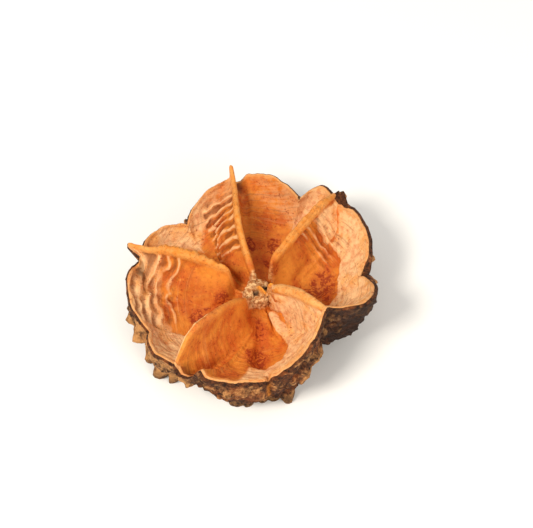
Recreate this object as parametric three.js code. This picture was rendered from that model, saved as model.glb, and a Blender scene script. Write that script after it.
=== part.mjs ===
// A dried, split seed capsule: one woody fruit wall that has burst along five seams into five valves.
// The valves are still joined below, so they stand round a short central column like the petals of a cup.
// Each valve carries a thin upright partition on its midline, and each cell lies between two partitions,
// with the seam of its two valves as a notch in the rim. The outside is bark with blunt warts, and the
// capsule stands on the flat scar where its stalk broke away.
// Millimetres, +Z up. The origin is the centre of the stalk scar, on the surface that the capsule stands on.
import * as THREE from "three";

// The central column, which the partitions grow out of.
const COLUMN = { topHeight: 14, topRadius: 2.6, footRadius: 3.6, footHeight: 8.8 };

// The five valves, anticlockwise from above. azimuth is the midline's, rim its wall's top end and crest the
// free edge of its partition, as radius and height from the column outwards. bow bends the partition sideways.
// The swells are how far the rim bulges out on the midline's clockwise and anticlockwise halves, and lip is
// how thick the wall is at its rim. beak is how far the crest's end stands out and up past the rim.
const VALVES = [
  {
    azimuth: 102, rim: [30.8, 17.3], lip: 0.9, bow: 1.4, swellBefore: 2.1, swellAfter: 0.5, beak: [1.4, 2.4],
    crest: [[2.4, 13], [9, 17], [20, 20.5], [31, 19.5]],
  },
  {
    azimuth: 162, rim: [29.4, 16.3], lip: 0.8, bow: -0.4, swellBefore: 1.2, swellAfter: 1.7, beak: [3.2, 0.8],
    crest: [[2.4, 11.5], [7.5, 15.6], [15, 19.4], [21.7, 20.8], [29.4, 17.6]],
  },
  {
    azimuth: 232, rim: [29.4, 17.6], lip: 1.2, bow: 0.5, swellBefore: 1.9, swellAfter: 1, beak: [0.8, 0.3],
    crest: [[2.4, 13], [6, 17], [10.8, 21.3], [16.7, 24.3], [22.5, 26], [26, 25], [29.4, 19]],
  },
  {
    azimuth: 319, rim: [20.8, 25.4], lip: 1.6, bow: 0, swellBefore: 1, swellAfter: 4, beak: [0.4, 0.2],
    crest: [[2.4, 14.5], [4, 18.4], [8.2, 22.5], [12.9, 25.3], [20.8, 26]],
  },
  {
    azimuth: 413.5, rim: [30, 17.6], lip: 1.6, bow: 0, swellBefore: 1.3, swellAfter: 2.4, beak: [1.6, 1.2],
    crest: [[2.4, 12], [3.2, 8], [4.4, 9], [5, 19], [10, 20.4], [16.4, 20.9], [25, 20.8], [30, 18.8]],
  },
];

// The five seams between them, each at the bottom of its notch. The first follows the first valve. belly is
// how wide the cell is below the rim, as a share of the rim's radius.
const SEAMS = [
  { azimuth: 134, rim: [24.3, 15.5], lip: 1, belly: 1.08 },
  { azimuth: 205.4, rim: [27.6, 14], lip: 1.2, belly: 0.92 },
  { azimuth: 275.5, rim: [24.6, 14], lip: 2, belly: 1.08 },
  { azimuth: 365.8, rim: [24.1, 16], lip: 3.1, belly: 0.84 },
  { azimuth: 428, rim: [26, 16.4], lip: 1.4, belly: 1.08 },
];
const SLIT = { depth: 2.2, width: 0.05 }; // the seam's crack, and the share of a half valve that it opens

const RIM_ARCH = 0.9; // how far each half valve's rim rises between midline and seam
const PARTITION = {
  halfThickness: 0.42, beadOverhang: 0.28, beadDepth: 0.68, filletReach: 1.3, leastHeight: 0.4,
};
const BEAK = { halfWidth: 0.7, start: 0.86, footShare: 0.4, barkLift: 0.6 }; // start is a share of the profile
const WALL = { thickness: 2.4, lipRounding: 0.3, lipDrop: 0.5 };
// How the wall's two profiles bend on a midline, between the column or scar and the rim. Radii and the
// shoulder's heights are shares of the rim's. In mid cell the wall hangs lower and further out.
const LINING = {
  floorRadius: 0.5, floorRise: 1, shoulder: [0.84, 0.58], cellFloorRise: -3, cellShoulderHeight: 4.5,
};
const BARK = {
  floorRadius: 0.5, floorHeight: -0.4, shoulder: [0.86, 0.5], cellFloorRadius: 0.68, cellShoulderHeight: 2,
};
const CELL_SHARPNESS = 0.8; // below 1, a cell takes its full depth sooner beside the midline
const WIDEST_FOOT = 0.7; // the most of a half valve that its partition's foot may take
const SCAR_RADIUS = 8.5; // the flat stalk scar at the base
// The small warts' rows, each as a share of the way from scar to rim and a count. jitter is how far they stray
// round and along the wall, and heights is the range of their height.
const WARTS = {
  radius: 3, rows: [[0.17, 11], [0.34, 14], [0.51, 16], [0.68, 17], [0.84, 17]],
  jitter: [0.8, 0.12], heights: [0.85, 1.87], fadeAtScar: 0.08, fadeAtRim: 0.1,
};
// The largest warts, each as an azimuth, a share of the way from scar to rim, and a height.
const LARGE_WARTS = [
  [259, 0.42, 2.4], [272, 0.42, 1.8], [280, 0.42, 2.2], [288, 0.5, 2.8], [204, 0.7, 1.6], [214, 0.55, 3],
  [223, 0.48, 2.6], [2, 0.84, 2.4], [356, 0.72, 2.2], [12, 0.8, 2],
];

// The mesh's steps round a half valve and from the column to the rim.
const STEPS = { bead: 2, face: 4, wall: 7, columnTop: 2, columnSide: 2, cell: 14, outside: 16, scar: 2 };

const DEGREE = Math.PI / 180;
const mix = (a, b, share) => a + (b - a) * share;
const smooth = (low, high, x) => THREE.MathUtils.smoothstep(x, low, high);

// The height of a curve through [radius, height] points, with no overshoot between them.
function heightAt(points, radius) {
  const last = points.length - 1;
  if (radius <= points[0][0]) return points[0][1];
  if (radius >= points[last][0]) return points[last][1];
  const i = points.findIndex((p) => p[0] > radius) - 1;
  const slope = (j) => {
    if (j <= 0 || j >= last) return 0;
    const before = (points[j][1] - points[j - 1][1]) / (points[j][0] - points[j - 1][0]);
    const after = (points[j + 1][1] - points[j][1]) / (points[j + 1][0] - points[j][0]);
    return before * after > 0 ? (2 * before * after) / (before + after) : 0;
  };
  const span = points[i + 1][0] - points[i][0];
  const s = (radius - points[i][0]) / span;
  const startSlope = i === 0 ? (points[1][1] - points[0][1]) / span : slope(i);
  const endSlope = i + 1 === last ? (points[last][1] - points[last - 1][1]) / span : slope(i + 1);
  return (
    points[i][1] * (2 * s ** 3 - 3 * s ** 2 + 1) +
    startSlope * span * (s ** 3 - 2 * s ** 2 + s) +
    points[i + 1][1] * (3 * s ** 2 - 2 * s ** 3) +
    endSlope * span * (s ** 3 - s ** 2)
  );
}

// A cubic Bezier through [radius, height] control points.
function bezier([a, b, c, d], t) {
  const u = 1 - t;
  return [0, 1].map((i) => u ** 3 * a[i] + 3 * u * u * t * b[i] + 3 * u * t * t * c[i] + t ** 3 * d[i]);
}

// The ten half valves in order round the axis. turn is 1 where the seam lies anticlockwise of the midline.
const HALVES = VALVES.flatMap((valve, i) => {
  const seamBefore = SEAMS[(i + SEAMS.length - 1) % SEAMS.length];
  const seamAfter = SEAMS[i];
  const spanTo = (seam) => THREE.MathUtils.euclideanModulo(seam.azimuth - valve.azimuth + 180, 360) - 180;
  return [
    { valve, seam: seamBefore, turn: -1, span: -spanTo(seamBefore) * DEGREE, swell: valve.swellBefore },
    { valve, seam: seamAfter, turn: 1, span: spanTo(seamAfter) * DEGREE, swell: valve.swellAfter },
  ];
});

// The rim's inner edge, from the midline at x 0 to the seam at x 1.
function rimAt({ valve, seam, swell }, x) {
  const arch = Math.sin(Math.PI * x);
  const slit = SLIT.depth * (1 - smooth(0, SLIT.width, 1 - x));
  return [
    mix(valve.rim[0], seam.rim[0], x) + swell * arch,
    mix(valve.rim[1], seam.rim[1], x) + RIM_ARCH * arch - slit,
  ];
}

// How far the wall has taken on its mid-cell shape, from 0 on the midline to 1 on the seam.
const cellShare = (x) => Math.sin((Math.PI / 2) * x) ** CELL_SHARPNESS;

// The inside of the wall, from the column's foot at t 0 to the rim at t 1.
function insideAt(half, x, t) {
  const rim = rimAt(half, x);
  const toCell = cellShare(x);
  return bezier(
    [
      [COLUMN.footRadius, COLUMN.footHeight],
      [LINING.floorRadius * rim[0], COLUMN.footHeight + mix(LINING.floorRise, LINING.cellFloorRise, toCell)],
      [
        mix(LINING.shoulder[0], half.seam.belly, toCell) * rim[0],
        mix(LINING.shoulder[1] * rim[1], LINING.cellShoulderHeight, toCell),
      ],
      rim,
    ],
    t,
  );
}

// The bark, from the scar's edge at t 0 to the rim at t 1, before its warts.
function outsideAt(half, x, t) {
  const rim = rimAt(half, x);
  const toCell = cellShare(x);
  return bezier(
    [
      [SCAR_RADIUS, 0],
      [mix(BARK.floorRadius, BARK.cellFloorRadius, toCell) * rim[0] + WALL.thickness, BARK.floorHeight],
      [
        mix(BARK.shoulder[0], half.seam.belly, toCell) * rim[0] + WALL.thickness,
        mix(BARK.shoulder[1] * rim[1], BARK.cellShoulderHeight, toCell),
      ],
      [rim[0] + mix(half.valve.lip, half.seam.lip, x), rim[1] - WALL.lipDrop],
    ],
    t,
  );
}

// A point from its valve's midline azimuth, a sideways angle, a radius and a height. The partition's bow
// turns the points near the midline.
function place(half, angle, x, radius, height) {
  const along = THREE.MathUtils.clamp(radius / half.valve.rim[0], 0, 1);
  const turned = half.valve.bow / Math.max(radius, SCAR_RADIUS);
  const bow = turned * Math.sin(Math.PI * along) ** 2 * (1 - x) ** 2;
  const azimuth = half.valve.azimuth * DEGREE + bow + half.turn * angle;
  return new THREE.Vector3(radius * Math.cos(azimuth), radius * Math.sin(azimuth), height);
}

// A column of the mesh runs from the capsule's centre to its rim and back under the bark. lift is 1 where it
// follows the partition's crest and 0 on the wall, reach is how far it stands off the midline's plane, and
// overhang is how much further it stands where the crest has its bead. On the bark the columns spread out:
// there barkX and barkReach take over from x and reach.
function columnsOf(half) {
  const { halfThickness, beadOverhang, beadDepth, filletReach } = PARTITION;
  const folded = STEPS.bead + STEPS.face;
  const columns = [];
  for (let i = 0; i <= folded + STEPS.wall; i++) {
    const column = { half, x: 0, lift: 1, drop: beadDepth, reach: filletReach, overhang: 0 };
    column.barkX = i / (folded + STEPS.wall);
    column.barkReach = filletReach * Math.min(i / folded, 1);
    if (i < STEPS.bead) {
      const turn = (i / STEPS.bead) * (Math.PI / 2);
      column.drop = beadDepth * (1 - Math.cos(turn));
      column.reach = halfThickness * Math.sin(turn);
      column.overhang = beadOverhang * Math.sin(turn);
    } else if (i < folded) {
      const down = (i - STEPS.bead) / STEPS.face;
      column.lift = 1 - down;
      column.reach = halfThickness + (filletReach - halfThickness) * down ** 4;
      column.overhang = beadOverhang * (1 - smooth(0, 0.25, down));
    } else {
      const last = i === folded + STEPS.wall;
      column.x = last ? 1 : ((i - folded) / (STEPS.wall - 1)) * (1 - SLIT.width);
      column.lift = 0;
      column.drop = 0;
    }
    columns.push(column);
  }
  return half.turn > 0 ? columns : columns.reverse();
}

// Neighbouring halves share their middle column, at a crest or at a seam.
const COLUMNS = HALVES.flatMap((half) => {
  const columns = columnsOf(half);
  return columns.slice(0, -1);
});

// The angle from the midline at a share x of a half valve that starts at a reach off the midline's plane.
function angleOf(half, x, reach, radius) {
  const foot = Math.min(reach / radius, WIDEST_FOOT * half.span);
  return mix(foot, half.span, x);
}

function insidePoint(column, t) {
  const { half, x, drop } = column;
  const [radius, wallHeight] = t < 0
    ? [mix(COLUMN.footRadius, COLUMN.topRadius, -t), mix(COLUMN.footHeight, COLUMN.topHeight - 1, -t)]
    : insideAt(half, x, t);
  const leastHeight = wallHeight + PARTITION.leastHeight + drop;
  const crestHeight = Math.max(heightAt(half.valve.crest, radius), leastHeight) - drop;
  const lift = t > -1 ? column.lift : 0;
  const reach = column.reach + column.overhang * smooth(COLUMN.footRadius, 2 * COLUMN.footRadius, radius);
  return place(half, angleOf(half, x, reach, radius), x, radius, mix(wallHeight, crestHeight, lift));
}

// The beak in which each midline ends, past the rim.
function beakAt({ half, x, lift }, t) {
  const offMidline = x * half.span * half.valve.rim[0];
  const share = Math.exp(-((offMidline / BEAK.halfWidth) ** 2)) * smooth(BEAK.start, 1, t);
  const [out, up] = half.valve.beak;
  const azimuth = half.valve.azimuth * DEGREE;
  const tip = new THREE.Vector3(out * Math.cos(azimuth), out * Math.sin(azimuth), up);
  return tip.multiplyScalar(share * mix(BEAK.footShare, 1, lift));
}

// A repeatable number from 0 to 1 for each wart.
const scatter = (n) => THREE.MathUtils.euclideanModulo(Math.sin(n * 127.1 + 311.7) * 43758.5453, 1);

// A wart on the bark, from its azimuth in degrees, its share of the way from scar to rim and its height.
function wartAt([azimuth, t, height]) {
  const turnFrom = (valve) => THREE.MathUtils.euclideanModulo(azimuth - valve.azimuth + 180, 360) - 180;
  const angleFrom = (valve) => Math.abs(turnFrom(valve)) * DEGREE;
  const half = HALVES.find((h) => turnFrom(h.valve) * h.turn >= 0 && angleFrom(h.valve) <= h.span);
  const angle = angleFrom(half.valve);
  const x = angle / half.span;
  return { centre: place(half, angle, x, ...outsideAt(half, x, t)), height };
}

// All the warts: the large ones, then the rows of small ones at slightly uneven places and heights.
const WART_LIST = LARGE_WARTS.map(wartAt).concat(
  WARTS.rows.flatMap(([t, count], row) =>
    Array.from({ length: count }, (_, i) => {
      const seed = row * 40 + i;
      const azimuth = ((i + WARTS.jitter[0] * scatter(seed)) / count) * 360;
      const share = t + WARTS.jitter[1] * (scatter(seed + 500) - 0.5);
      return wartAt([azimuth, share, mix(...WARTS.heights, scatter(seed + 900))]);
    }),
  ),
);

const BARK_SPREAD_END = 0.6; // above this share of the way to the rim the bark's columns draw in
const PROFILE_STEP = 0.01;

// A point on the bark, pushed out square to the wall's profile wherever it lies on a wart.
function outsidePoint(column, t) {
  const { half } = column;
  const nearRim = smooth(BARK_SPREAD_END, 1, t);
  const x = mix(column.barkX, column.x, nearRim);
  const [radius, height] = outsideAt(half, x, t);
  const angle = mix(column.barkX * half.span, angleOf(half, column.x, column.barkReach, radius), nearRim);
  const point = place(half, angle, x, radius, height);
  const highest = WART_LIST.reduce((most, wart) => {
    const near = Math.max(0, 1 - (point.distanceTo(wart.centre) / WARTS.radius) ** 2);
    return Math.max(most, wart.height * near ** 2);
  }, 0);
  const swell = highest * smooth(0, WARTS.fadeAtScar, t) * smooth(0, WARTS.fadeAtRim, 1 - t);
  const [lowerRadius, lowerHeight] = outsideAt(half, x, t - PROFILE_STEP);
  const slope = Math.hypot(radius - lowerRadius, height - lowerHeight);
  const outwards = (swell * (height - lowerHeight)) / slope;
  const downwards = (swell * (radius - lowerRadius)) / slope;
  return place(half, angle, x, radius + outwards, Math.max(height - downwards, 0));
}

// One ring of points for each row, from the column's top down, out to the rim, and down the bark to the scar.
function ringsOf() {
  const rings = [];
  for (let i = 1; i <= STEPS.columnTop; i++) {
    const share = i / STEPS.columnTop;
    rings.push(COLUMNS.map((c) => {
      const edge = insidePoint(c, -1);
      return new THREE.Vector3(edge.x * share, edge.y * share, mix(COLUMN.topHeight, edge.z, share ** 2));
    }));
  }
  for (let i = 1; i <= STEPS.columnSide; i++) {
    rings.push(COLUMNS.map((c) => insidePoint(c, i / STEPS.columnSide - 1)));
  }
  for (let i = 1; i <= STEPS.cell; i++) {
    const t = i / STEPS.cell;
    rings.push(COLUMNS.map((c) => insidePoint(c, t).add(beakAt(c, t))));
  }
  const lip = (c) => outsidePoint(c, 1).add(beakAt({ ...c, lift: BEAK.barkLift }, 1));
  const raise = new THREE.Vector3(0, 0, WALL.lipRounding);
  rings.push(COLUMNS.map((c) => insidePoint(c, 1).add(beakAt(c, 1)).lerp(lip(c), 0.5).add(raise)));
  for (let i = 0; i < STEPS.outside; i++) {
    const t = 1 - i / STEPS.outside;
    rings.push(COLUMNS.map((c) => outsidePoint(c, t).add(beakAt({ ...c, lift: BEAK.barkLift }, t))));
  }
  for (let i = 0; i < STEPS.scar; i++) {
    const share = 1 - i / STEPS.scar;
    rings.push(COLUMNS.map((c) => outsidePoint(c, 0).multiplyScalar(share)));
  }
  return rings;
}

// A closed surface from rings of equal length, with a pole at each end.
function closedSurface(rings, firstPole, lastPole) {
  const around = rings[0].length;
  const points = [firstPole, ...rings.flat(), lastPole];
  const at = (ring, i) => 1 + ring * around + (i % around);
  const faces = [];
  for (let i = 0; i < around; i++) {
    faces.push(0, at(0, i), at(0, i + 1));
    for (let ring = 0; ring + 1 < rings.length; ring++) {
      faces.push(at(ring, i), at(ring + 1, i), at(ring + 1, i + 1));
      faces.push(at(ring, i), at(ring + 1, i + 1), at(ring, i + 1));
    }
    faces.push(points.length - 1, at(rings.length - 1, i + 1), at(rings.length - 1, i));
  }
  const geometry = new THREE.BufferGeometry().setFromPoints(points);
  geometry.setIndex(faces);
  geometry.computeVertexNormals();
  return geometry;
}

const capsule = new THREE.Mesh(
  closedSurface(ringsOf(), new THREE.Vector3(0, 0, COLUMN.topHeight), new THREE.Vector3(0, 0, 0)),
  new THREE.MeshStandardMaterial({ color: 0xd9a066, roughness: 0.8, metalness: 0 }),
);
capsule.name = "seed_capsule";

const part = new THREE.Group();
part.add(capsule);
export default part;
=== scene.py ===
import math

import bpy
import numpy as np
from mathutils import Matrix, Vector, noise


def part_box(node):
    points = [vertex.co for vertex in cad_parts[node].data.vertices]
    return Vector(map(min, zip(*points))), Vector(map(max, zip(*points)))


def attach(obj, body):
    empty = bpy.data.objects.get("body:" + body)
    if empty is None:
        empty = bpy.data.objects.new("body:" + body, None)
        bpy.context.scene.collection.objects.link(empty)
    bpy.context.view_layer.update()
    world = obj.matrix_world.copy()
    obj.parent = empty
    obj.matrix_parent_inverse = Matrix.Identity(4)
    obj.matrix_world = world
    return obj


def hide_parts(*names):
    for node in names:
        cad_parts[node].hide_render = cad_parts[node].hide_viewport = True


# A dried seed capsule that grew as one piece: a woody fruit wall, burst along five seams into five valves
# that are still joined below. Lengths are in millimetres for a capsule 60 mm wide, and MM turns them into
# metres at the width that the frame gives.
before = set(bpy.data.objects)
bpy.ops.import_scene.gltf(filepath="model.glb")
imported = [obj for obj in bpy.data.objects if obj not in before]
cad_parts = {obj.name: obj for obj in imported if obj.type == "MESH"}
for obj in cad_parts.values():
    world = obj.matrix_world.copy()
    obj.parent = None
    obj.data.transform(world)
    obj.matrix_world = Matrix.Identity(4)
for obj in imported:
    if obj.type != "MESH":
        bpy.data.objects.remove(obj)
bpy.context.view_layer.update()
low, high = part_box("seed_capsule")
MM = (high.x - low.x) / 60


# Camera and studio: a long lens that looks down into the open cells, a pale floor under the stalk scar, one
# large soft light from the left that models the ribs, and a weak one opposite so that no shadow goes black.
def aim(thing, place, target):
    """Puts a light or the camera at a place and turns it to a target."""
    thing.location = place
    thing.rotation_mode = "QUATERNION"
    thing.rotation_quaternion = (target - place).to_track_quat("-Z", "Y")


view_slope = math.radians(55)
view_target = Vector((2.02, 4.68, 17.28)) * MM
view_distance = 420 * MM
view_back = Vector((0, -math.cos(view_slope), math.sin(view_slope)))
camera = bpy.data.objects.new("camera", bpy.data.cameras.new("camera"))
camera.data.lens = 119.1
camera.data.clip_start = 0.01
bpy.context.collection.objects.link(camera)
aim(camera, view_target + view_back * view_distance, view_target)
bpy.context.scene.camera = camera

bpy.ops.object.select_all(action="DESELECT")
bpy.ops.mesh.primitive_plane_add(size=4, location=(0, 0, low.z))
floor = bpy.context.object
floor.name = "floor"
floor_paint = bpy.data.materials.new("floor")
floor_paint.use_nodes = True
floor_shader = floor_paint.node_tree.nodes["Principled BSDF"]
floor_shader.inputs["Base Color"].default_value = (0.87, 0.86, 0.84, 1)
floor_shader.inputs["Roughness"].default_value = 0.9
floor.data.materials.append(floor_paint)

middle = (low + high) / 2
for name, place, size, watts in [
    ("key light", Vector((-0.27, -0.25, 0.48)), 0.18, 3.0),
    ("fill light", Vector((0.4, -0.45, 0.3)), 0.4, 2.2),
]:
    lamp = bpy.data.lights.new(name, "AREA")
    lamp.size = size
    lamp.energy = watts
    lamp.color = (1, 0.95, 0.86)
    light = bpy.data.objects.new(name, lamp)
    bpy.context.collection.objects.link(light)
    aim(light, place, middle)

world = bpy.data.worlds.new("studio")
world.use_nodes = True
world.node_tree.nodes["Background"].inputs["Color"].default_value = (1, 0.98, 0.95, 1)
world.node_tree.nodes["Background"].inputs["Strength"].default_value = 0.68
bpy.context.scene.world = world
bpy.context.scene.view_settings.view_transform = "Standard"


# The fruit wall: woody, a few millimetres thick, and burst into five valves round a short column, each with a
# partition on its midline. The five seams lie at the bottom of the notches between the valves, each over the
# middle of a seed cell.

# A valve has its rim's radius and height and its lip's thickness, how its partition bows and ends in a beak,
# and for its clockwise and anticlockwise halves how far the rim swells out, how far it has shrunk back beside
# the midline, where the lining's shoulder lies, as shares of the rim's radius and height, and how broad and
# how steep the partition's foot is.
BACK, LEFT, FRONT_LEFT, FRONT_RIGHT, BACK_RIGHT = range(5)
CLOCKWISE, ANTICLOCKWISE = range(2)
# Each half's pale share is partly the cream skin's own colour and partly painted light, set by how that half
# lies to the light.
VALVES = [
    {"azimuth": 102, "rim": (30.8, 17.3), "lip": 0.9, "bow": 1.4, "beak": (1.4, 1.7), "knob": 0.0,
     "swell": (2.1, 0.5), "gap": (1.8, 0.2), "shoulder": ((0.84, 0.58), (0.84, 0.58)),
     "foot": (1.6, 5.5), "slope": (3, 1.3), "pale": (0.5, 0.75)},
    {"azimuth": 162, "rim": (29.4, 16.3), "lip": 0.8, "bow": -0.4, "beak": (3.2, 0.8), "knob": 0.0,
     "swell": (1.2, 1.7), "gap": (0.3, 2.6), "shoulder": ((0.84, 0.58), (0.86, 0.6)),
     "foot": (4.5, 6.5), "slope": (1.5, 1.4), "pale": (0.85, 0.85)},
    {"azimuth": 232, "rim": (29.4, 17.6), "lip": 1.2, "bow": 0.5, "beak": (0.8, 0.3), "knob": 0.0,
     "swell": (1.9, 1.0), "gap": (0.3, 2.8), "shoulder": ((0.8, 0.68), (0.84, 0.58)),
     "foot": (2.0, 4.0), "slope": (3, 1.6), "pale": (0.7, 0.15)},
    {"azimuth": 319, "rim": (20.4, 25.6), "lip": 1.0, "bow": 0.0, "beak": (0.0, 0.0), "knob": 0.0,
     "swell": (1.2, 4.2), "gap": (0.0, 0.0), "shoulder": ((0.92, 0.34), (0.76, 0.56)),
     "foot": (2.4, 2.5), "slope": (1.4, 2), "pale": (0.0, 0.0)},
    {"azimuth": 413.5, "rim": (30.0, 17.6), "lip": 2.0, "bow": 0.0, "beak": (0.8, -0.4), "knob": 1.9,
     "swell": (1.3, 2.4), "gap": (1.8, 0.2), "shoulder": ((0.84, 0.58), (0.84, 0.62)),
     "foot": (5.0, 2.0), "slope": (1.4, 2), "pale": (0.55, 0.8)},
]

# A seam has how deep its cell dips below the column's foot, its rim and lip, how far the bark bellies out
# under it, the lining's shoulder, and how far it has slit open.
SEAMS = [
    {"azimuth": 134, "dip": 1.5, "rim": (24.3, 15.5), "lip": 1.0,
     "belly": 1.08, "shoulder": (0.96, 0.45), "slit": 0.3},
    {"azimuth": 205.4, "dip": 4.0, "rim": (27.6, 14.0), "lip": 1.2,
     "belly": 0.98, "shoulder": (0.88, 0.5), "slit": 0.8},
    {"azimuth": 275.5, "dip": 4.0, "rim": (24.6, 14.0), "lip": 2.0,
     "belly": 1.0, "shoulder": (0.8, 0.7), "slit": 1.4},
    {"azimuth": 365.8, "dip": 4.0, "rim": (24.3, 16.0), "lip": 2.4,
     "belly": 0.86, "shoulder": (0.78, 0.58), "slit": 1.8},
    {"azimuth": 428, "dip": 2.5, "rim": (26.0, 16.4), "lip": 1.4,
     "belly": 1.08, "shoulder": (0.96, 0.4), "slit": 0.6},
]

COLUMN_TOP = 14.0
COLUMN_TOP_RADIUS = 3.1
COLUMN_FOOT = (3.9, 9.2)
WALL_THICKNESS = 2.4
SCAR_RADIUS = 8.5
RIM_ARCH = 0.9
SLIT_WIDTH = 0.04
SPLINTER_PLACE, SPLINTER_WIDTH, SPLINTER_HEIGHT = 0.23, 0.035, 3.2
RIM_RING = 25
RIM_WANDER, RIM_RAGGEDNESS = 0.3, 0.45
CELL_ROUNDNESS = 0.8
FLOOR_REACH = 0.5
PARTITION_FOOT_RISE = 1
BARK_UNDER_PARTITION = (0.5, 0.86)
BARK_UNDER_CELL = 0.68
LIP_DROP = 0.5


def mix(a, b, share):
    return a + (b - a) * share


def smooth(start, end, value):
    """0 before start, 1 after end, and an even S between them."""
    share = np.clip((value - start) / (end - start), 0, 1)
    return share * share * (3 - 2 * share)


def hump(centre, width, value):
    return np.exp(-(((value - centre) / width) ** 2))


def curve(points, at):
    """The height at some radii of a line through points, with no overshoot between them."""
    x, y = np.array(points, float).T
    steps = np.diff(y) / np.diff(x)
    slopes = np.zeros(len(x))
    slopes[0], slopes[-1] = steps[0], steps[-1]
    both = steps[:-1] * steps[1:]
    slopes[1:-1] = np.where(both > 0, 2 * both / np.where(both > 0, steps[:-1] + steps[1:], 1), 0)
    at = np.clip(at, x[0], x[-1])
    i = np.clip(np.searchsorted(x, at, side="right") - 1, 0, len(x) - 2)
    span = x[i + 1] - x[i]
    s = (at - x[i]) / span
    start = y[i] * (2 * s**3 - 3 * s**2 + 1) + slopes[i] * span * (s**3 - 2 * s**2 + s)
    return start + y[i + 1] * (3 * s**2 - 2 * s**3) + slopes[i + 1] * span * (s**3 - s**2)


def bezier(a, b, c, d, t):
    u = 1 - t
    return u**3 * a + 3 * u**2 * t * b + 3 * u * t**2 * c + t**3 * d


def rough(points, size, seed, octaves=3):
    """Uneven values from about -1 to 1 whose bumps are some millimetres wide."""
    spread = (np.asarray(points, float) / size + seed * 17.3).reshape(-1, 3)
    values = [noise.fractal(p, 1, 2, octaves) for p in spread]
    return np.array(values).reshape(points.shape[:-1])


# The husk's mesh is a sphere whose lines of points run from the centre of the column's top, down into a cell
# or over a partition, up to the rim, down the bark and in to the scar. Each half valve has its own share of
# the lines: first those of the partition's bead and face, then those of the wall.
BEAD_STEPS, FACE_STEPS, WALL_STEPS = 6, 16, 30
HALF_STEPS = BEAD_STEPS + FACE_STEPS + WALL_STEPS
SEAM_CROWDING = 1.25
ROWS = {"top": 9, "side": 8, "cell": 106, "lip": 6, "bark": 56, "scar": 4}


def column_values():
    """Everything that differs between the sphere's lines of points, with one value for each line."""
    lists = {}
    for i, valve in enumerate(VALVES):
        for turn, seam in ((-1, SEAMS[i - 1]), (1, SEAMS[i])):
            side = (turn + 1) // 2
            away = (seam["azimuth"] - valve["azimuth"] + 180) % 360 - 180
            steps = range(HALF_STEPS, 0, -1) if turn < 0 else range(HALF_STEPS)
            for step in steps:
                row = {
                    "valve": i, "side": side, "turn": turn, "step": step,
                    "azimuth": math.radians(valve["azimuth"]), "span": math.radians(abs(away)),
                    "rim_r": valve["rim"][0], "rim_z": valve["rim"][1], "lip": valve["lip"],
                    "seam_r": seam["rim"][0], "seam_z": seam["rim"][1], "seam_lip": seam["lip"],
                    "shoulder_r": valve["shoulder"][side][0], "shoulder_z": valve["shoulder"][side][1],
                    "seam_shoulder_r": seam["shoulder"][0], "seam_shoulder_z": seam["shoulder"][1],
                    "belly": seam["belly"], "dip": seam["dip"], "slit": seam["slit"], "bow": valve["bow"],
                    "beak_out": valve["beak"][0], "beak_up": valve["beak"][1], "knob": valve["knob"],
                    "swell": valve["swell"][side], "gap": valve["gap"][side],
                    "foot": valve["foot"][side], "slope": valve["slope"][side],
                    "pale": valve["pale"][side],
                }
                for key, value in row.items():
                    lists.setdefault(key, []).append(value)
    return {key: np.array(values, float) for key, values in lists.items()}


col = column_values()
folded = BEAD_STEPS + FACE_STEPS
on_bead = col["step"] < BEAD_STEPS
on_plate = col["step"] < folded
down = np.clip((col["step"] - BEAD_STEPS) / FACE_STEPS, 0, 1)
bead_turn = np.clip(col["step"] / BEAD_STEPS, 0, 1) * math.pi / 2
lift = np.where(on_bead, 1, 1 - down)
even = col["step"] / HALF_STEPS
wall_share = np.clip((col["step"] - folded) / WALL_STEPS, 0, 1)
x_wall = 1 - (1 - wall_share) ** SEAM_CROWDING


def half_is(valve, side):
    return (col["valve"] == valve) & (col["side"] == side)


def rim_at(x):
    """The rim's inner edge from the midline at x 0 to the seam at x 1, as a radius and a height."""
    arch = np.sin(math.pi * x)
    shrunk = col["gap"] * (1 - smooth(0.06, 0.2, x))
    radius = mix(col["rim_r"], col["seam_r"], x) + col["swell"] * arch
    height = mix(col["rim_z"], col["seam_z"], x) + RIM_ARCH * arch - shrunk
    splinter = SPLINTER_HEIGHT * hump(SPLINTER_PLACE, SPLINTER_WIDTH, x) * half_is(FRONT_LEFT, ANTICLOCKWISE)
    where = col["azimuth"] + col["turn"] * x * col["span"]
    ring = np.stack([RIM_RING * np.cos(where), RIM_RING * np.sin(where), 0 * where], axis=-1)
    radius = radius + RIM_WANDER * rough(ring, 3, 1)
    return radius, height + splinter + RIM_RAGGEDNESS * rough(ring, 1.8, 2)


def slit_at(x, t):
    """How far each seam has opened down from the rim."""
    return col["slit"] * (1 - smooth(0, SLIT_WIDTH, 1 - x)) * smooth(0.9, 1, t)


def inside_at(x, t):
    """The lining's profile from the column's foot at t 0 to the rim at t 1."""
    radius, height = rim_at(x)
    to_cell = np.sin(math.pi / 2 * x) ** CELL_ROUNDNESS
    shoulder_r = mix(col["shoulder_r"], col["seam_shoulder_r"], to_cell) * radius
    shoulder_z = mix(col["shoulder_z"], col["seam_shoulder_z"], to_cell) * height
    r = bezier(COLUMN_FOOT[0], FLOOR_REACH * radius, shoulder_r, radius, t)
    dip = mix(PARTITION_FOOT_RISE, -col["dip"], to_cell)
    z = bezier(COLUMN_FOOT[1], COLUMN_FOOT[1] + dip, shoulder_z, height, t)
    return r, z - slit_at(x, t)


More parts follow.
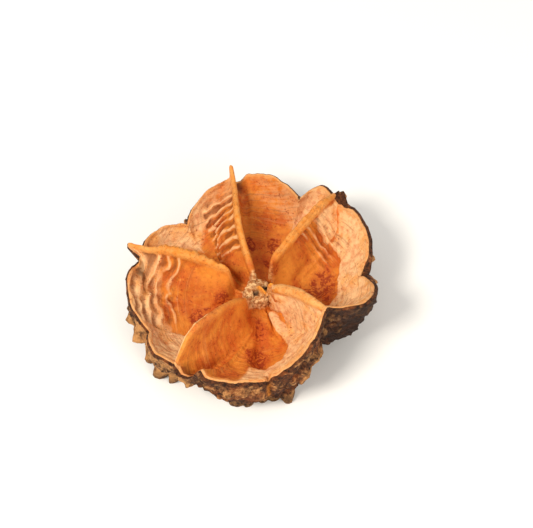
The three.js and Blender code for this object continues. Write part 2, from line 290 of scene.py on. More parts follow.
def outside_at(x, t):
    """The bark's profile from the scar's edge at t 0 to the rim at t 1."""
    radius, height = rim_at(x)
    to_cell = np.sin(math.pi / 2 * x) ** CELL_ROUNDNESS
    second = mix(BARK_UNDER_PARTITION[0], BARK_UNDER_CELL, to_cell) * radius + WALL_THICKNESS
    third = mix(BARK_UNDER_PARTITION[1], col["belly"] + 0.02, to_cell) * radius + WALL_THICKNESS
    r = bezier(SCAR_RADIUS, second, third, radius + mix(col["lip"], col["seam_lip"], x), t)
    z = bezier(0, -0.4, mix(0.5 * height, 2, to_cell), height - LIP_DROP, t)
    return r, z - slit_at(x, t)


def square_to(radius, height):
    """The unit direction square to each profile, on its left as it runs."""
    along_r, along_z = np.gradient(radius, axis=0), np.gradient(height, axis=0)
    length = np.hypot(along_r, along_z) + 1e-9
    return -along_z / length, along_r / length


def round_the_axis(angle, x, radius, height):
    """Points from their angle off the midline, with the sideways bow of the partition near it."""
    along = np.clip(radius / col["rim_r"], 0, 1)
    bow = col["bow"] / np.maximum(radius, 6) * np.sin(math.pi * along) ** 2 * (1 - x) ** 2
    azimuth = col["azimuth"] + bow + col["turn"] * angle
    return np.stack([radius * np.cos(azimuth), radius * np.sin(azimuth), height], axis=-1)


def beak(points, t, share, start, closing=0):
    """Draws the end of each crest out into its beak, past the rim."""
    share = share * smooth(start, 1, t)
    points[..., 0] += share * col["beak_out"] * np.cos(col["azimuth"])
    points[..., 1] += share * col["beak_out"] * np.sin(col["azimuth"])
    points[..., 2] += share * (col["beak_up"] + closing)
    return points


# The seeds' marks: flat seeds stood in each cell like coins, and pressed ribs into the lining across it. Each
# half valve's ribs have a depth, a first and last distance from the column, how much of the wall they cross
# from the midline on, and their spacing.
RIBS = {
    (BACK, ANTICLOCKWISE): (0.8, 11, 30, -0.2, 0.46, 2.25),
    (LEFT, ANTICLOCKWISE): (0.62, 18, 33, -0.2, 0.85, 2.6),
    (LEFT, CLOCKWISE): (0.2, 15, 28, -0.1, 0.9, 2.4),
    (BACK_RIGHT, CLOCKWISE): (0.4, 15, 28, -0.2, 0.35, 1.9),
    (BACK, CLOCKWISE): (0.08, 12, 32, -0.2, 1.0, 1.3),
    (FRONT_LEFT, ANTICLOCKWISE): (0.1, 10, 30, -0.2, 1.0, 1.5),
    (FRONT_RIGHT, CLOCKWISE): (0.12, 14, 26, -0.2, 1.0, 2.6),
    (FRONT_LEFT, CLOCKWISE): (0.15, 20, 30, 0.2, 1.0, 2.2),
}


def ribs(points, x, distance):
    """How far the lining stands out, from its ribs."""
    height = np.zeros_like(distance)
    wander = rough(points, 7, 3)
    strength = 0.75 + 0.6 * rough(points, 2.6, 4)
    foot = np.where(on_plate, 1 - down, 0)
    for (valve, side), (depth, first, last, start, end, spacing) in RIBS.items():
        mine = half_is(valve, side)
        phase = 2 * math.pi * (distance / spacing + 0.6 * wander + 0.5 * x)
        wave = np.sin(phase) - 0.25 * np.cos(2 * phase)
        reach = smooth(first, first + 3, distance) * (1 - smooth(last - 4, last, distance))
        shorter = 0.5 * (1 - smooth(first, last, distance))
        across = smooth(start, start + 0.1, x) * (1 - smooth(end - 0.2, end, x + 0.15 * wander))
        across = across * (1 - shorter * (1 - foot)) * (1 - smooth(0.86, 1, foot))
        height += np.where(mine, depth * wave * reach * across * strength, 0)
    return height


# The pale inner skin, which has split back from the floor of three cells and left a sharp ragged edge over
# it. Each edge is a line of azimuths and radii, with the depth of the floor below the skin.
SKIN_EDGES = [
    (2.0, [(255, 19.6), (264, 20.1), (279, 20.6), (287, 19.8), (294, 18.2), (300, 16.4), (304, 14.4),
           (307.5, 11), (310, 5), (313, 1), (325, 0.9)]),
    (1.4, [(306, 0.9), (318, 1), (322, 9), (333, 14.5), (345, 17), (354, 17.9), (360, 18.7), (371, 19.4),
           (385, 20.7), (399, 22.6), (408, 22.8), (412, 23)]),
    (1.0, [(188, 28.5), (196, 27.2), (200, 25), (204, 22.2), (209, 20), (216, 19.2), (226, 18.8),
           (232, 18.6)]),
]


def skin_edges(points, azimuth, radius):
    """How far each point lies sunk below the inner skin, and from 0 to 1 whether the skin covers it."""
    sunk = np.zeros_like(radius)
    covered = np.zeros_like(radius)
    ragged = 0.4 * rough(points, 2, 5)
    for depth, line in SKIN_EDGES:
        first, last = line[0][0], line[-1][0]
        at = first + (np.degrees(azimuth) - first) % 360
        inside_arc = smooth(first, first + 12, at) * (1 - smooth(last - 2, last, at))
        past = radius + ragged - curve(line, np.clip(at, first, last))
        sunk += depth * inside_arc * (1 - smooth(-0.35, 0.15, past)) * smooth(-12, -3, past)
        covered = np.maximum(covered, inside_arc * smooth(-0.35, 0.15, past))
    return sunk, covered


# The partitions: thin woody plates that stood between the seeds of two cells. Each has a thick free edge, the
# bead, given as its radius, height and half width from the column outwards. One has broken off short of the
# column and one has torn away near it.
CRESTS = [
    [(2.8, 13, 1.0), (9, 17, 0.8), (20, 20.5, 0.75), (30.8, 19.5, 0.5)],
    [(2.8, 10.5, 0.4), (5.6, 10.5, 0.4), (7.4, 17.8, 0.4), (8.6, 18.9, 0.5), (10.7, 19.6, 0.8),
     (15, 20.5, 1.1), (21.7, 21, 1.1), (29.4, 17.4, 0.4)],
    [(2.8, 13, 0.7), (6, 17, 0.7), (10.8, 21.3, 0.75), (16.7, 24.3, 0.8), (22.5, 26, 0.8), (26, 25, 0.6),
     (29.4, 19, 0.4)],
    [(2.8, 15.2, 0.7), (4, 18.6, 1.1), (8.2, 22.6, 1.3), (12.9, 25.3, 1.2), (20.4, 26, 0.7)],
    [(2.8, 11, 0.4), (3.4, 8, 0.4), (4.6, 9, 0.4), (5.2, 19, 0.5), (7, 19.8, 0.9), (10, 20.4, 1),
     (16.4, 20.9, 1.1), (25, 20.8, 1), (30, 18.8, 0.7)],
]
CREST_ROUGHNESS = np.array([0.15, 0.7, 0.2, 0.2, 0.3])
CREST_NIBBLES = np.array([0.1, 0.35, 0.1, 0.1, 0.1])
PLATE_HALF_THICKNESS = 0.42
LEAST_CREST = 0.4
CREST_CRACK_DEPTH = 0.55
TORN_FACE_DEPTH = 0.6
BEAD_MARGIN = 0.2


def crest_at(radius):
    """The height and the half width of the bead over each point, from its own partition's crest."""
    crest = np.zeros_like(radius)
    bead = np.zeros_like(radius)
    for i, points in enumerate(CRESTS):
        mine = col["valve"] == i
        crest[:, mine] = curve([(r, z) for r, z, w in points], radius[:, mine])
        bead[:, mine] = curve([(r, w) for r, z, w in points], radius[:, mine])
    return crest, bead


def partition_at(radius, wall_height, t):
    """The height of each point at its radius, and how far it stands to the side of the partition's middle."""
    crest, bead = crest_at(radius)
    valve = col["valve"].astype(int)
    edge = np.stack([radius, 40 * col["valve"] + 0 * radius, 0 * radius], axis=-1)
    torn = rough(edge, 1.8, 6) * CREST_ROUGHNESS[valve]
    torn *= smooth(4, 7, radius) * (1 - smooth(0.85, 1, t))
    crest += torn + CREST_NIBBLES[valve] * rough(edge, 0.7, 23) * smooth(5, 8, radius)
    bead *= smooth(0.8, 1.6, radius / COLUMN_FOOT[0]) * (1 + 0.5 * torn)
    cracked = (valve == BACK_RIGHT) * smooth(6, 8, radius) * (1 - smooth(24, 27, radius))
    crest -= CREST_CRACK_DEPTH * cracked * (1 - smooth(0.1, 0.5, bead_turn)) * on_bead
    drop = np.where(on_bead, 1 - np.cos(bead_turn), 1) * on_plate * (bead + BEAD_MARGIN)
    crest = np.maximum(crest, wall_height + LEAST_CREST + drop) - drop
    overhang = np.maximum(bead - PLATE_HALF_THICKNESS, 0)
    foot = col["foot"] * (1 - 0.6 * smooth(0.75, 1, t)) * (0.3 + 0.7 * smooth(4, 10, radius))
    spread = (foot - PLATE_HALF_THICKNESS) * down ** col["slope"]
    reach = np.where(
        on_bead,
        np.sin(bead_turn) * (PLATE_HALF_THICKNESS + overhang),
        PLATE_HALF_THICKNESS + spread + overhang * (1 - smooth(0, 0.2, down)),
    )
    torn_face = TORN_FACE_DEPTH * rough(edge + down[None, :, None] * 4, 1.5, 9)
    torn_face = torn_face * (valve == LEFT) * smooth(8, 12, radius)
    reach += np.where(on_plate, torn_face * (1 - down) * smooth(0.05, 0.3, down), 0)
    return mix(wall_height, crest, lift), reach


# The column that the seeds were fixed to: a short crumbling stump, with two hollows in its top and the stub
# of one partition lying over it.
PITS = [(1.7, 0.8), (-0.3, -0.8)]
PIT_RADIUS, PIT_DEPTH = 0.85, 1.8
FINGER_AZIMUTH = math.radians(319)
FINGER_WIDTH, FINGER_HEIGHT = 0.6, 1.4
CRUMB_SIZE, CRUMB_HEIGHT = 1.1, 0.55
COLUMN_CROWN = 1
LIP_GROOVE_DEPTH = 0.22
WIDEST_FOOT = 0.7
BEAK_START = 0.84


def crumble(points):
    """Breaks up the column's smooth surface into crumbs, sinks the pits in its top and raises the stub."""
    x, y, z = points[..., 0], points[..., 1], points[..., 2]
    near = 1 - smooth(3.2, 6.5, np.hypot(x, y))
    crumbs = np.stack([rough(points, CRUMB_SIZE, 10 + axis) for axis in range(3)], axis=-1)
    on_top = smooth(10, 12, z)
    along = x * math.cos(FINGER_AZIMUTH) + y * math.sin(FINGER_AZIMUTH)
    across = y * math.cos(FINGER_AZIMUTH) - x * math.sin(FINGER_AZIMUTH)
    finger = smooth(-0.6, 0.1, along) * (1 - smooth(4, 5, along)) * hump(0, FINGER_WIDTH, across) ** 2
    finger = finger * on_top
    pit = sum(hump(0, PIT_RADIUS, np.hypot(x - pit_x, y - pit_y)) for pit_x, pit_y in PITS)
    pit = np.clip(pit, 0, 1) * on_top * (1 - finger)
    points += (near * (1 - 0.8 * finger) * CRUMB_HEIGHT)[..., None] * crumbs
    points[..., 2] += FINGER_HEIGHT * finger - PIT_DEPTH * pit
    return near, finger, pit


def lining_relief(at, azimuth, radius, distance, t):
    """How far the lining stands in from its smooth profile, and the marks that its paint needs."""
    rib = ribs(at, x_wall, distance)
    sunk, skin = skin_edges(at, azimuth, radius)
    seam_gap = (1 - x_wall) * col["span"] * radius
    crack = 0.2 * col["slit"] * hump(0, 0.3, seam_gap) * smooth(0.86, 0.98, t)
    edged = (col["valve"] == LEFT) | half_is(BACK, ANTICLOCKWISE) | half_is(FRONT_LEFT, CLOCKWISE)
    lip_groove = LIP_GROOVE_DEPTH * hump(0.95, 0.022, t) * edged
    uneven = 0.35 * rough(at, 6, 7) + 0.12 * rough(at, 1.6, 8)
    raised = rib - sunk - crack - lip_groove + uneven * smooth(0, 0.2, t)
    return raised * (1 - smooth(0.97, 1, t)), {"rib": rib, "skin": skin, "crack": crack}


def lining_rows():
    """The rows from the column's top, down its side, and out through the cells to the rim."""
    side = np.linspace(-1, 0, ROWS["side"] + 1)[:-1]
    t = np.concatenate([side, np.arange(1, ROWS["cell"] + 1) / ROWS["cell"]])[:, None]
    radius, height = inside_at(x_wall, np.maximum(t, 0))
    z, reach = partition_at(radius, height, t)
    azimuth = col["azimuth"] + col["turn"] * (col["span"] * x_wall + np.where(on_plate, reach / radius, 0))
    at = np.stack([radius * np.cos(azimuth), radius * np.sin(azimuth), z], axis=-1)
    distance = np.hypot(radius, z - COLUMN_FOOT[1])
    left_r, left_z = square_to(radius, height)
    raised, marks = lining_relief(at, azimuth, radius, distance, t)
    raised_wall = np.where(on_plate, raised * smooth(0.3, 1, down), raised)
    radius = radius + raised_wall * left_r
    height = height + raised_wall * left_z
    radius = np.where(t <= 0, mix(COLUMN_FOOT[0], COLUMN_TOP_RADIUS, -t), radius)
    height = np.where(t <= 0, mix(COLUMN_FOOT[1], COLUMN_TOP - COLUMN_CROWN, -t), height)
    z, reach = partition_at(radius, height, t)
    z = np.where(t > -1, z, height)
    reach = reach + np.where(on_plate, raised * smooth(0.05, 0.3, down), 0)
    foot = np.minimum(reach / radius, WIDEST_FOOT * col["span"])
    points = round_the_axis(mix(foot, col["span"], x_wall), x_wall, radius, z)
    points = beak(points, t, np.where(on_plate, smooth(0.72, 1, lift), 0), BEAK_START)
    marks["growth"] = distance
    marks["t"] = np.broadcast_to(t, radius.shape)
    marks["x"] = np.broadcast_to(x_wall, radius.shape)
    marks["crest"] = np.where(on_plate, 1 - smooth(0.02, 0.16, down), 0) * smooth(0.05, 0.12, t)
    marks["plate"] = np.broadcast_to(np.where(on_plate, lift, 0), radius.shape)
    shares = np.arange(1, ROWS["top"] + 1)[:, None, None] / (ROWS["top"] + 1)
    top = points[0] * shares
    top[:, :, 2] = mix(COLUMN_TOP, points[0][:, 2], shares[:, :, 0] ** 2)
    for name, values in marks.items():
        marks[name] = np.concatenate([np.repeat(values[:1], ROWS["top"], axis=0), values])
    return np.concatenate([top, points]), marks


# The bark: dark and corky, with blunt warts. The largest are given by azimuth, by their share of the way from
# the scar to the rim, and by height and radius. The rest stand in uneven rows, each a share and a count.
LARGE_WARTS = [
    (257, 0.42, 5, 3.6), (264, 0.44, 4.6, 2.6), (272, 0.42, 5, 2.3), (280, 0.42, 5.2, 2.4),
    (288, 0.5, 4.6, 2.8), (199, 0.78, 2.8, 2.2), (206, 0.66, 4, 2.6), (214, 0.56, 5, 3),
    (221, 0.5, 4.4, 2.8), (229, 0.45, 3.6, 2.8), (2, 0.84, 2.8, 3), (356, 0.72, 2.6, 2.8),
    (8, 0.88, 3.2, 2.4), (19, 0.92, 1.8, 1.8), (30, 0.9, 1.4, 2), (50, 0.93, 2.2, 1.8),
    (70, 0.9, 1.6, 1.8), (296, 0.8, 1.4, 2.8), (303, 0.86, 1.7, 2.8), (309, 0.76, 2.0, 3),
]
WART_ROWS = [
    (0.1, 12), (0.2, 16), (0.3, 20), (0.4, 24), (0.5, 26), (0.6, 28), (0.7, 28), (0.8, 28), (0.9, 26),
]
WART_BLUNTNESS = 1.3
BARK_EDGE_WIDTH = 0.65
BARK_BEAK_START, BARK_BEAK_SHARE = 0.93, 0.9
BEAK_CLOSING = 0.75
KNOB_PLACE = 0.04


def warts():
    """Every wart as an azimuth in radians, a share, a height and a radius."""
    dice = np.random.default_rng(4)
    small = []
    for t, count in WART_ROWS:
        for i in range(count):
            azimuth = (i + dice.uniform(0, 0.9)) / count * 360
            share = t + dice.uniform(-0.05, 0.05)
            small.append((azimuth, share, dice.uniform(0.3, 1.3), dice.uniform(1.1, 2.2)))
    return [(math.radians(a), t, h, r) for a, t, h, r in LARGE_WARTS + small]


def warts_on(at):
    """How high the warts stand over the smooth bark at each point."""
    azimuth = np.arctan2(at[..., 1], at[..., 0])
    warty = np.zeros(at.shape[:2])
    for wart_azimuth, wart_t, wart_height, wart_radius in warts():
        row = int(round((1 - wart_t) * ROWS["bark"]))
        turned = (azimuth[row] - wart_azimuth + math.pi) % (2 * math.pi) - math.pi
        centre = at[row, np.argmin(np.abs(turned))]
        near = np.clip(1 - ((at - centre) ** 2).sum(axis=-1) / wart_radius**2, 0, 1)
        warty = np.maximum(warty, wart_height * near**WART_BLUNTNESS)
    return warty


def bark_rows(lining_edge):
    """The rows from the rim down the bark to the scar, and the marks that the bark's paint needs."""
    t = np.linspace(1, 0, ROWS["bark"] + 1)[:, None]
    near_rim = smooth(0.6, 1, t)
    x = mix(even, x_wall, near_rim)
    radius, height = outside_at(x, t)
    edge_width = BARK_EDGE_WIDTH * np.clip(col["step"] / folded, 0, 1)
    rim_foot = np.minimum(edge_width / radius, WIDEST_FOOT * col["span"])
    angle = mix(even * col["span"], mix(rim_foot, col["span"], x_wall), near_rim)
    at = round_the_axis(angle, x, radius, height)
    seam_gap = (1 - x) * col["span"] * radius
    crack = 0.4 * col["slit"] * hump(0, 0.45, seam_gap) * smooth(0.45, 0.95, t)
    bumps = warts_on(at) + (0.7 * rough(at, 1.7, 20, 4) + 0.4 * rough(at, 5, 21))
    raised = bumps * smooth(0, 0.08, t) * smooth(0, 0.06, 1 - t) - crack
    left_r, left_z = square_to(radius, height)
    radius = radius + raised * left_r
    height = np.maximum(height + raised * left_z, 0)
    points = round_the_axis(angle, x, radius, height)
    closing = BEAK_CLOSING * (col["knob"] == 0) * (lining_edge[:, 2] - points[0, :, 2] - col["beak_up"])
    drawn_out = BARK_BEAK_SHARE * np.where(on_plate, smooth(0.72, 1, lift), 0)
    points = beak(points, t, drawn_out, BARK_BEAK_START, np.maximum(closing, 0))
    knob = col["knob"] * (col["turn"] < 0) * hump(KNOB_PLACE, 0.06, x) * smooth(0.8, 0.95, t)
    points[..., 0] += 0.5 * knob * np.cos(col["azimuth"])
    points[..., 1] += 0.5 * knob * np.sin(col["azimuth"])
    points[..., 2] += 1.7 * knob * (1 + 0.4 * rough(points, 1, 22))
    return points, {"bump": bumps + 0.9 * smooth(0.7, 1, t), "crack": crack}


lining, marks = lining_rows()
bark, bark_marks = bark_rows(lining[-1])
crumbly, finger, pit = crumble(lining)
lip_shares = np.arange(1, ROWS["lip"] + 1)[:, None, None] / (ROWS["lip"] + 1)
lip = mix(lining[-1], bark[0], lip_shares)
lip[:, :, 2] += 0.3 * np.sin(math.pi * lip_shares[:, :, 0])
scar_shares = np.arange(ROWS["scar"], 0, -1)[:, None, None] / (ROWS["scar"] + 1)
scar = bark[-1] * scar_shares
surface = np.concatenate([lining, lip, bark, scar])
rows, columns = surface.shape[:2]

bpy.ops.object.select_all(action="DESELECT")
bpy.ops.mesh.primitive_uv_sphere_add(segments=columns, ring_count=rows + 1, radius=1)
capsule = bpy.context.object
capsule.name = "seed_capsule_husk"
sphere = np.zeros(len(capsule.data.vertices) * 3)
capsule.data.vertices.foreach_get("co", sphere)
sphere = sphere.reshape(-1, 3)
row_of = np.rint(np.arccos(np.clip(sphere[:, 2], -1, 1)) / math.pi * (rows + 1)).astype(int) - 1
column_of = np.rint(np.arctan2(sphere[:, 1], sphere[:, 0]) / (2 * math.pi) * columns).astype(int) % columns
shaped = surface[np.clip(row_of, 0, rows - 1), column_of]
shaped[row_of < 0] = (0, 0, surface[0, :, 2].mean())
shaped[row_of >= rows] = (0, 0, 0)
capsule.data.vertices.foreach_set("co", (shaped * MM).ravel())
capsule.data.update()
bpy.ops.object.shade_smooth()


# The husk's finish, all dry wood and cork. The mesh carries where each kind of surface lies, and a direction
# of growth that fine lines follow. The stains are where the seeds leaked, each given as its azimuth, its
# radius and its reach along and across.
STAINS = [
    (77, 15, 6, 2), (104, 11, 5, 0.8), (197, 14, 4.5, 1.6), (186, 8, 3, 1.2), (268, 16, 3.6, 3.2),
    (272, 9, 4, 1.0), (18, 16.5, 4.2, 5), (14, 11, 3.6, 2), (97, 16, 3, 1.2),
]
# Round the first azimuth the bark is darkened as painted shade, and round the second it is lightened as
# painted light.
SHADED_BARK_AZIMUTH, LIT_BARK_AZIMUTH = 338, 214
BARK_SPREAD = 24
GROWTH_RING = 8
LIP_PATH, BARK_PATH_START, BARK_PATH_END, SCAR_PATH = 40, 42, 75, 76


def stain_at(points):
    """How strongly the seeds have stained each point, from 0 to 1."""
    share = np.zeros(points.shape[:2])
    for azimuth, radius, along, across in STAINS:
        turn = math.radians(azimuth)
        out = points[..., 0] * math.cos(turn) + points[..., 1] * math.sin(turn) - radius
        side = points[..., 1] * math.cos(turn) - points[..., 0] * math.sin(turn)
        share = np.maximum(share, np.exp(-((out / along) ** 2) - (side / across) ** 2))
    return share


def bark_near(azimuth):
    """1 on the bark at an azimuth in degrees, falling to 0 on both sides of it."""
    away = np.degrees(np.arctan2(bark[..., 1], bark[..., 0])) - azimuth
    return hump(0, BARK_SPREAD, (away + 180) % 360 - 180)


def on_vertices(grid):
    """The values on the rows and columns, in the order of the mesh's vertices."""
    return grid[np.clip(row_of, 0, rows - 1), column_of].astype(np.float32)


def give(name, lining_values, lip_values=0, bark_values=0, scar_values=0):
    """Stores one mask on the mesh, from its values on each run of rows."""
    runs = [(lining_values, lining), (lip_values, lip), (bark_values, bark), (scar_values, scar)]
    grid = np.concatenate([np.broadcast_to(value, run.shape[:2]) for value, run in runs])
    mask_data = capsule.data.attributes.new(name, "FLOAT", "POINT").data
    mask_data.foreach_set("value", on_vertices(grid))


t, x = marks["t"], marks["x"]
lip_down = lip_shares[:, :, 0]

beside_knob = col["knob"] * hump(KNOB_PLACE, 0.08, x_wall) * (col["turn"] < 0)
beside_right_seam = half_is(FRONT_RIGHT, ANTICLOCKWISE) | half_is(BACK_RIGHT, CLOCKWISE)
right_notch = smooth(0.75, 0.95, x_wall) * beside_right_seam
bark_over_lip = np.clip(np.maximum(beside_knob, right_notch), 0, 1)
give("bark", 0, smooth(0.35, 0.75, lip_down + 0.35 * bark_over_lip), 1, 0.7)
give("rim", smooth(0.965, 0.99, t), 1)
give("crest", marks["crest"] * (1 - 0.7 * (col["valve"] == FRONT_LEFT)))
give("rib", marks["rib"])

# The cream covers the real inner skin, and the per-half share on top of it is partly painted light.
pale = col["pale"] * smooth(0.42, 0.78, t) * (0.6 + 0.4 * x) + marks["skin"]
pale = np.maximum(pale, half_is(FRONT_LEFT, CLOCKWISE) * smooth(0.72, 0.8, t) * smooth(0.3, 0.5, x))
give("pale", np.clip(pale * (1 - crumbly), 0, 1), 0.5)

# Painted shade on the bark: darker towards the floor and round the shaded azimuth. It shares one mask with
# the seeds' real stains on the lining.
shade_near_floor = 1 - smooth(1, 6, bark[..., 2])
shaded_bark = np.maximum(bark_near(SHADED_BARK_AZIMUTH), 0.7 * shade_near_floor)
give("stain_and_bark_shade", stain_at(lining) * (1 - marks["skin"]) * (1 - marks["plate"]), 0, shaded_bark)
give("wall", smooth(0.22, 0.5, t), 1, 1)
give("crumb", crumbly * (1 - finger) * smooth(9, 12, lining[..., 2]))
give("finger", finger)

# Painted shade: the seam cracks, the pits in the column's top and the hollows beside three beaks are painted
# dark.
shaded_beak_halves = [(BACK, CLOCKWISE), (LEFT, ANTICLOCKWISE), (FRONT_LEFT, ANTICLOCKWISE)]
shade_beside_beak = sum(half_is(*half) for half in shaded_beak_halves) * hump(0.04, 0.07, x) * smooth(0.8, 0.95, t)
shade_beside_beak = shade_beside_beak * np.where(on_plate, smooth(0.2, 0.7, down), 1)
give("dark", np.clip(marks["crack"] + pit + 0.7 * shade_beside_beak, 0, 1))
give("seam", 0, 0, np.clip(1.6 * bark_marks["crack"], 0, 1))
# The warts' real height, with painted light added round the lit azimuth.
give("wart_and_lit_side", 0, 0, bark_marks["bump"] + 1.6 * bark_near(LIT_BARK_AZIMUTH))

azimuth_of = np.arctan2(surface[..., 1], surface[..., 0])
path = np.concatenate([
    marks["growth"],
    np.broadcast_to(LIP_PATH + lip_down, lip.shape[:2]),
    np.broadcast_to(np.linspace(BARK_PATH_START, BARK_PATH_END, len(bark))[:, None], bark.shape[:2]),
    np.full(scar.shape[:2], SCAR_PATH),
])
grown = np.stack([GROWTH_RING * np.cos(azimuth_of), GROWTH_RING * np.sin(azimuth_of), path], axis=-1)
grown_data = capsule.data.attributes.new("grown", "FLOAT_VECTOR", "POINT").data
grown_data.foreach_set("vector", on_vertices(grown).ravel())


class Socket:
    """A node's output. Sums on it make Math nodes, and node() makes any other kind."""

    def __init__(self, tree, output=None):
        self.tree = tree
        self.output = output

    def node(self, kind, settings=None, inputs=None, output=0):
        made = self.tree.nodes.new("ShaderNode" + kind)
        for name, value in (settings or {}).items():
            setattr(made, name, value)
        for name, value in (inputs or {}).items():
            if isinstance(value, Socket):
                self.tree.links.new(value.output, made.inputs[name])
            else:
                made.inputs[name].default_value = value
        return Socket(self.tree, made.outputs[output])

    def math(self, operation, *values):
        return self.node("Math", {"operation": operation}, dict(enumerate(values)))

    def __add__(self, other):
        return self.math("ADD", self, other)

    def __sub__(self, other):
        return self.math("SUBTRACT", self, other)

    def __rsub__(self, other):
        return self.math("SUBTRACT", other, self)

    def __mul__(self, other):
        return self.math("MULTIPLY", self, other)

    def __neg__(self):
        return self.math("MULTIPLY", self, -1)

    __radd__ = __add__
    __rmul__ = __mul__

    def size(self):
        return self.math("ABSOLUTE", self)

    def most(self, other):
        return self.math("MAXIMUM", self, other)

    def least(self, other):
        return self.math("MINIMUM", self, other)

    def between(self, low, high):
        """0 at low and below, 1 at high and above."""
        return self.node("MapRange", {"interpolation_type": "SMOOTHSTEP"},
                         {"Value": self, "From Min": low, "From Max": high})

    def blend(self, other, share):
        """This colour mixed with another by a share."""
        return self.node("Mix", {"data_type": "RGBA"}, {0: share, 6: self, 7: other}, 2)


def linear(level):
    """One part of a paint card's colour, from 0 to 255, as the light it reflects."""
    level = level / 255
    return level / 12.92 if level <= 0.04045 else ((level + 0.055) / 1.055) ** 2.4


def paint(red, green, blue):
    return linear(red), linear(green), linear(blue), 1


husk = bpy.data.materials.new("husk")
husk.use_nodes = True
shader = husk.node_tree.nodes["Principled BSDF"]
shader.inputs["Specular IOR Level"].default_value = 0.25
new = Socket(husk.node_tree)
on_husk = new.node("TexCoord", output="Object")
growth = new.node("Attribute", {"attribute_name": "grown"}, output="Vector")


def mask(name):
    return new.node("Attribute", {"attribute_name": name}, output="Fac")


def speckle(size, detail=4, roughness=0.6, twist=0):
    """Uneven values around 0.5 whose spots are some millimetres wide."""
    return new.node("TexNoise", {}, {"Vector": on_husk, "Scale": 1 / (size * MM), "Detail": detail,
                                     "Roughness": roughness, "Distortion": twist})


def growth_lines(around, along, detail):
    """Uneven lines that run round the cells, from their length and their width."""
    drawn_out = new.node("VectorMath", {"operation": "MULTIPLY"},
                         {0: growth, 1: (1 / around, 1 / around, 1 / along)})
    return new.node("TexNoise", {}, {"Vector": drawn_out, "Scale": 1, "Detail": detail, "Roughness": 0.6})


def two_tone(first, second, share):
    return new.node("Mix", {"data_type": "RGBA"}, {0: share, 6: first, 7: second}, 2)


ORANGE, RUST, AMBER = paint(214, 128, 44), paint(190, 90, 26), paint(230, 150, 52)
CREAM, PINK, STRAW = paint(236, 188, 134), paint(212, 146, 98), paint(216, 148, 74)
BROWN, RIM_GOLD, HOLLOW_SHADE_PURPLE = paint(124, 62, 20), paint(218, 148, 80), paint(48, 16, 12)
STAIN_RED, STAIN_RUST = paint(136, 40, 6), paint(184, 80, 24)
CRUMB_TAN, CRUMB_CREAM = paint(176, 112, 62), paint(240, 196, 140)
BARK_DARK, BARK_BROWN = paint(36, 18, 9), paint(104, 58, 30)
BARK_RUST, BARK_TAN = paint(150, 76, 30), paint(226, 162, 98)

rim_mask, rib_mask, pale_mask, wall_mask = mask("rim"), mask("rib"), mask("pale"), mask("wall")
crumb_mask, wart_and_lit_side_mask, stain_and_bark_shade_mask = mask("crumb"), mask("wart_and_lit_side"), mask("stain_and_bark_shade")
clouds = speckle(5)
patches = speckle(1.6, 5)
grit = speckle(0.45, 3)
corky = speckle(0.9, 6, 0.7)
crevices = speckle(2.2, 5, 0.65)
lines = growth_lines(3.5, 0.42, 4)
fine_lines = growth_lines(5, 0.2, 3)


def lining_colour():
    """Smooth orange skin below, cream skin near the rims, both with lines of growth and pressed ribs, whose
    ridges carry painted highlight and whose grooves carry painted shade.
    """
    orange = two_tone(ORANGE, RUST, clouds.between(0.35, 0.65))
    orange = orange.blend(AMBER, patches.between(0.55, 0.75) * 0.6)
    pale = two_tone(CREAM, PINK, patches.between(0.45, 0.68))
    pale = pale.blend(AMBER, clouds.between(0.45, 0.7) * 0.6)
    ragged_pale = (pale_mask + (patches - 0.5) * 0.55 + (lines - 0.5) * 0.3).between(0.3, 0.62)
    # Painted shade in the ribs' grooves and painted highlight on their ridges.
    groove = (-rib_mask + (grit - 0.5) * 0.25).between(0.02, 0.4)
    ridge = (rib_mask + (patches - 0.5) * 0.3).between(0.05, 0.5)
    mottle = speckle(0.9, 4, 0.7).between(0.5, 0.7)
    skin = orange.blend(pale, ragged_pale)
    skin = skin.blend(BROWN, lines.between(0.52, 0.66) * wall_mask * 0.4)
    skin = skin.blend(CREAM, fine_lines.between(0.58, 0.72) * wall_mask * 0.25)
    skin = skin.blend(BROWN, groove * 0.75)
    skin = skin.blend(BROWN, mottle * 0.3)
    return skin.blend(CREAM, ridge * 0.75)


def with_stains(skin):
    """Dried sap from the seeds, in dark red veins and blots, and small flecks between them."""
    veins = 1 - (speckle(2.6, 3, twist=0.5) - 0.5).size().between(0.01, 0.05)
    blots = speckle(1.5, 3).between(0.54, 0.6)
    stained = (stain_and_bark_shade_mask * 1.3 + (clouds - 0.5) * 1.6 + (patches - 0.5) * 0.9).between(0.45, 0.85)
    flecks = speckle(0.6, 2).between(0.61, 0.66) * clouds.between(0.42, 0.58)
    skin = skin.blend(STAIN_RUST, stained * 0.4)
    skin = skin.blend(STAIN_RED, veins.most(blots) * stained * 0.85)
    return skin.blend(STAIN_RED, flecks * 0.7)


def with_edges(skin):
    """The worn free edges of the partitions and the rims."""
    crest = two_tone(STRAW, ORANGE, patches.between(0.4, 0.65)).blend(BROWN, grit.between(0.55, 0.68) * 0.6)
    skin = skin.blend(crest, mask("crest") * 0.8)
    return skin.blend(RIM_GOLD, rim_mask * patches.between(0.3, 0.7) * 0.8)


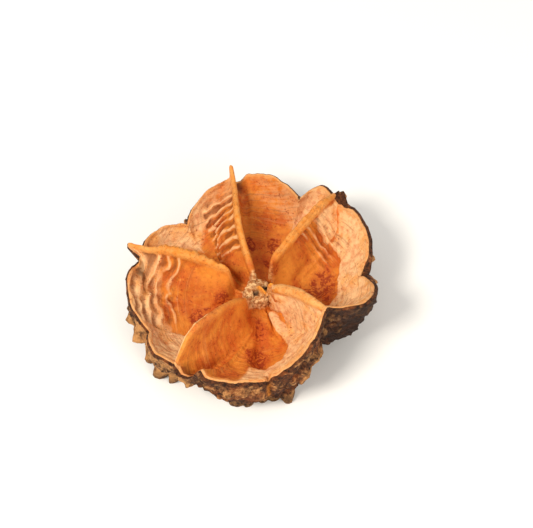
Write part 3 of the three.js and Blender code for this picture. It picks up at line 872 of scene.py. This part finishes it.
def with_column(skin):
    """The crumbs and the stub on the column, and painted shade in the pits there, the seam cracks and the
    hollows beside the beaks.
    """
    crumbs = two_tone(CRUMB_TAN, CRUMB_CREAM, speckle(0.8, 4).between(0.4, 0.6))
    skin = skin.blend(crumbs, crumb_mask.between(0.25, 0.75) * 0.9)
    skin = skin.blend(AMBER, mask("finger"))
    # Painted shade in the hollows.
    return skin.blend(HOLLOW_SHADE_PURPLE, mask("dark").between(0.1, 0.9) * 0.9)


def bark_colour():
    """Dark cork, rusty in its crevices, tan on the warts, with a lighter line down each seam. The tan is
    partly the cork's own flecks and partly painted light, strongest on the side towards the light, and the
    sunken parts, one side and the foot are darkened as painted shade.
    """
    # Tan on the raised parts is partly the cork's own flecks and partly painted light.
    proud = wart_and_lit_side_mask.least(2.6) * 0.25 + (crevices - 0.5) * 2.4 + (corky - 0.5) * 0.8
    sunken_shade = (-wart_and_lit_side_mask).between(0, 0.5)
    cork = two_tone(BARK_DARK, BARK_BROWN, corky.between(0.35, 0.65))
    cork = cork.blend(BARK_RUST, (crevices - clouds).between(0, 0.15) * 0.5)
    cork = cork.blend(BARK_TAN, proud.between(0.1, 0.95) * 0.85)
    # Painted shade: the sunken parts, the shaded side and the foot of the bark are painted dark.
    cork = cork.blend(BARK_DARK, sunken_shade.most(stain_and_bark_shade_mask * 0.95) * 0.9)
    return cork.blend(ORANGE, mask("seam") * corky.between(0.3, 0.6))


bark_share = (mask("bark") + (corky - 0.5) * 0.7).between(0.35, 0.6)
colour = with_column(with_edges(with_stains(lining_colour()))).blend(bark_colour(), bark_share)
lining_roughness = 0.72 + (patches - 0.5) * 0.25 - rim_mask * 0.12
roughness = new.node("Mix", {}, {"Factor": bark_share, "A": lining_roughness, "B": 0.88})
cork_cells = new.node("TexVoronoi", {"feature": "DISTANCE_TO_EDGE"},
                      {"Vector": on_husk, "Scale": 1 / (1.3 * MM), "Randomness": 1}, "Distance")
lining_bumps = (lines * 0.16 + fine_lines * 0.08) * wall_mask + grit * 0.1 + patches * 0.1
lining_bumps = lining_bumps + crumb_mask * grit * 0.5
bark_bumps = corky * 0.8 + crevices * 1.2 + cork_cells.between(0, 0.25) * 0.2 + grit * 0.2
bumps = new.node("Mix", {}, {"Factor": bark_share, "A": lining_bumps, "B": bark_bumps})
normal = new.node("Bump", {}, {"Strength": 0.9, "Distance": MM, "Height": bumps})
for socket, value in [("Base Color", colour), ("Roughness", roughness), ("Normal", normal)]:
    husk.node_tree.links.new(value.output, shader.inputs[socket])
capsule.data.materials.append(husk)
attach(capsule, "root")
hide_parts("seed_capsule")
